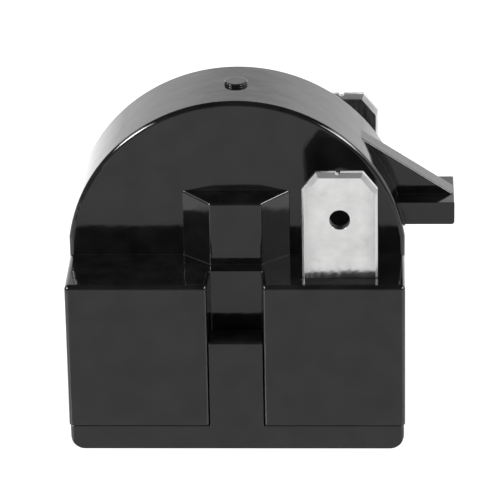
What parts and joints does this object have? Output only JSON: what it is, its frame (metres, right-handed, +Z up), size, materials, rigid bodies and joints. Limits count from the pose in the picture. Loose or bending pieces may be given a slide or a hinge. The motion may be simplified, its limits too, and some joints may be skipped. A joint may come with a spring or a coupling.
{
  "type": "compressor start relay",
  "caption": "Plug-on PTC start relay: glossy moulded housing with an arched hump, clipped base cover, spade tabs and sockets for a compressor's pins.",
  "frame": {"origin": "centre of the base cover's underside", "axes": "+Z up through the hump, +X towards the side arm, +Y towards the rear tab; the front with its tab and guard block looks along -Y"},
  "size_m": [0.0327, 0.0216, 0.0294],
  "materials": {
    "housing_plastic": "glossy moulded",
    "cover_plastic": "glossy moulded",
    "ceramic": "silvered faces",
    "tinned_brass": "matt tin plate",
    "spring_steel": "rolled",
    "rivet_brass": "plain",
    "socket_brass": "plain"
  },
  "bodies": {
    "root": {"housing": "housing_plastic", "base_cover": "cover_plastic", "ptc_disc": "ceramic", "front_terminal": "tinned_brass", "rear_terminal": "tinned_brass", "front_spring": "spring_steel", "rear_spring": "spring_steel", "front_rivet": "rivet_brass", "rear_rivet": "rivet_brass", "run_pin_socket": "socket_brass", "start_pin_socket": "socket_brass", "run_socket_clip": "spring_steel", "start_socket_clip": "spring_steel"}
  },
  "joints": []
}
